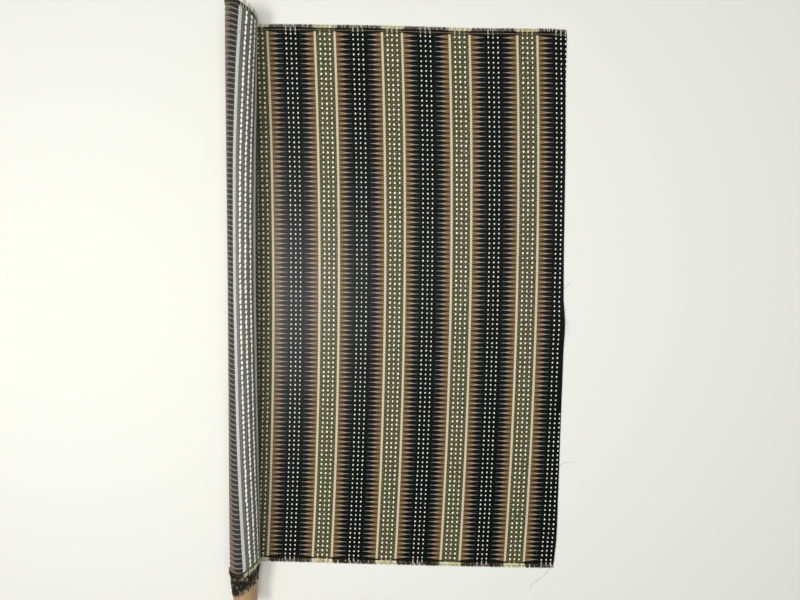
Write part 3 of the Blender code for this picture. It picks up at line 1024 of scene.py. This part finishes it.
def cut_yarns():
    """The fuzz of the cut edge and the loose threads, as one piece."""
    share = np.arange(*FUZZ_SHARES, FUZZ_SPACING / CLOTH_WIDTH)
    count = len(share)
    share = share + chance.normal(0, 0.0003, count)
    edge_y = FLAT_EDGES[-1][1] + share * (FLAT_EDGES[-1][2] - FLAT_EDGES[-1][1])
    along = np.interp(edge_y, reach[:, 0], reach[:, 1])
    height = chance.uniform(-0.3, 0.3, count) * SHEET
    origins, ahead, aside, normal = cloth_frames(along - FUZZ_DEPTH, share, height)
    origins[:, 2] = np.maximum(origins[:, 2], LOWEST)
    lean = chance.normal(0, 0.5, count)[:, None]
    length = chance.uniform(FUZZ_SHORTEST, FUZZ_LONGEST, count)[:, None] + FUZZ_DEPTH
    thick = FUZZ_THICK * chance.uniform(0.6, 1.1, count)[:, None]
    frames = np.stack([(ahead + aside * lean) * length, aside * thick, normal * thick], axis=1)
    kinds = chance.integers(0, len(STRANDS), count)
    origins, frames, kinds = [origins], [frames], [kinds]
    for points in THREADS:
        line = smooth_line(points)
        way = np.diff(line, axis=0)
        step = np.zeros((len(way), 3))
        step[:, :2] = way * THREAD_OVERLAP
        across = np.cross((0, 0, 1), step / np.linalg.norm(step, axis=1)[:, None]) * THREAD_THICK
        upward = np.zeros_like(step) + (0, 0, THREAD_THICK)
        height = np.where(np.arange(len(way)) < THREAD_ON_CLOTH, SHEET, LOWEST)
        origins.append(np.column_stack([line[:-1, 0] + AXIS_X, line[:-1, 1], height]))
        frames.append(np.stack([step, across, upward], axis=1))
        kinds.append(np.full(len(way), STRAIGHT))
    marks = np.zeros((sum(len(part) for part in kinds), 2))
    marks[:, 0] = DARK_GROUND
    kinds, origins, frames = [np.concatenate(part) for part in (kinds, origins, frames)]
    return joined("yarns_cut", STRANDS, kinds, origins, frames, marks, yarn_finish)


cut_fuzz = cut_yarns()

# %% [markdown]
# The tube is spiral-wound board. Its brown paper has a seam that climbs round it, long fibres along the
# seam and thin plies that show on its cut ends. The solid already has the right shape, so it stays and
# only gets a finish.

# %% The board tube
SEAM_CLIMB = 0.105
PLY = 0.0007
TUBE_MIDDLE = (TUBE_HIGH[1] + TUBE_LOW[1]) / 2
TUBE_HALF = (TUBE_HIGH[1] - TUBE_LOW[1]) / 2


def board_material():
    """Brown board: fibres and a darker seam on a climbing line, plies on the cut ends."""
    wiring = Wiring("kraft_board")
    objects = wiring.tree.nodes.new("ShaderNodeTexCoord").outputs["Object"]
    mapping = wiring.tree.nodes.new("ShaderNodeMapping")
    mapping.inputs["Location"].default_value = (-AXIS_X, 0.0, -AXIS_Z)
    wiring.feed(mapping.inputs["Vector"], objects)
    parts = wiring.tree.nodes.new("ShaderNodeSeparateXYZ")
    wiring.feed(parts.inputs[0], mapping.outputs[0])
    x, y, z = parts.outputs[0], parts.outputs[1], parts.outputs[2]
    angle = wiring.math("DIVIDE", wiring.math("ARCTAN2", x, z), 2 * math.pi)
    climb = wiring.math("FRACT", wiring.math("ADD", angle, wiring.math("DIVIDE", y, SEAM_CLIMB)))
    seam = wiring.step(wiring.math("ABSOLUTE", wiring.math("SUBTRACT", climb, 0.5)), 0.012, 0.004)
    squares = wiring.math("ADD", wiring.math("MULTIPLY", x, x), wiring.math("MULTIPLY", z, z))
    radius = wiring.math("SQRT", squares)
    fibre = wiring.noise(wiring.vector(wiring.math("MULTIPLY", climb, 0.25), y, angle), 160.0, 4.0)
    cloud = wiring.noise(mapping.outputs[0], 30.0, 2.0)
    colour = wiring.mix(wiring.step(fibre, 0.3, 0.7), dye(158, 124, 90), dye(188, 156, 120))
    colour = wiring.mix(wiring.step(cloud, 0.35, 0.7, 0.0, 0.5), colour, dye(168, 132, 96))
    colour = wiring.mix(wiring.math("MULTIPLY", seam, 0.55), colour, dye(108, 80, 54))
    plies = wiring.math("SINE", wiring.math("MULTIPLY", radius, 2 * math.pi / PLY))
    from_middle = wiring.math("ABSOLUTE", wiring.math("SUBTRACT", y, TUBE_MIDDLE))
    end = wiring.step(from_middle, TUBE_HALF - 0.0006, TUBE_HALF - 0.0002)
    plies = wiring.math("MULTIPLY", wiring.step(plies, 0.2, 0.9), end)
    colour = wiring.mix(wiring.math("MULTIPLY", plies, 0.5), colour, dye(120, 84, 54))
    height = wiring.math("SUBTRACT", fibre, wiring.math("MULTIPLY", seam, 2.0))
    return wiring.finish(colour, 0.75, height, 0.00025)


board = board_material()
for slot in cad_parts["tube"].material_slots:
    slot.material = board
print("tube: %.0f mm across" % ((TUBE_HIGH[0] - TUBE_LOW[0]) * 1000))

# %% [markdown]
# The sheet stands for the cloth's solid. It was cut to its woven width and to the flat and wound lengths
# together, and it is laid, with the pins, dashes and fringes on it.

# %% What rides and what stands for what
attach(cloth, "root")
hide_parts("cloth")
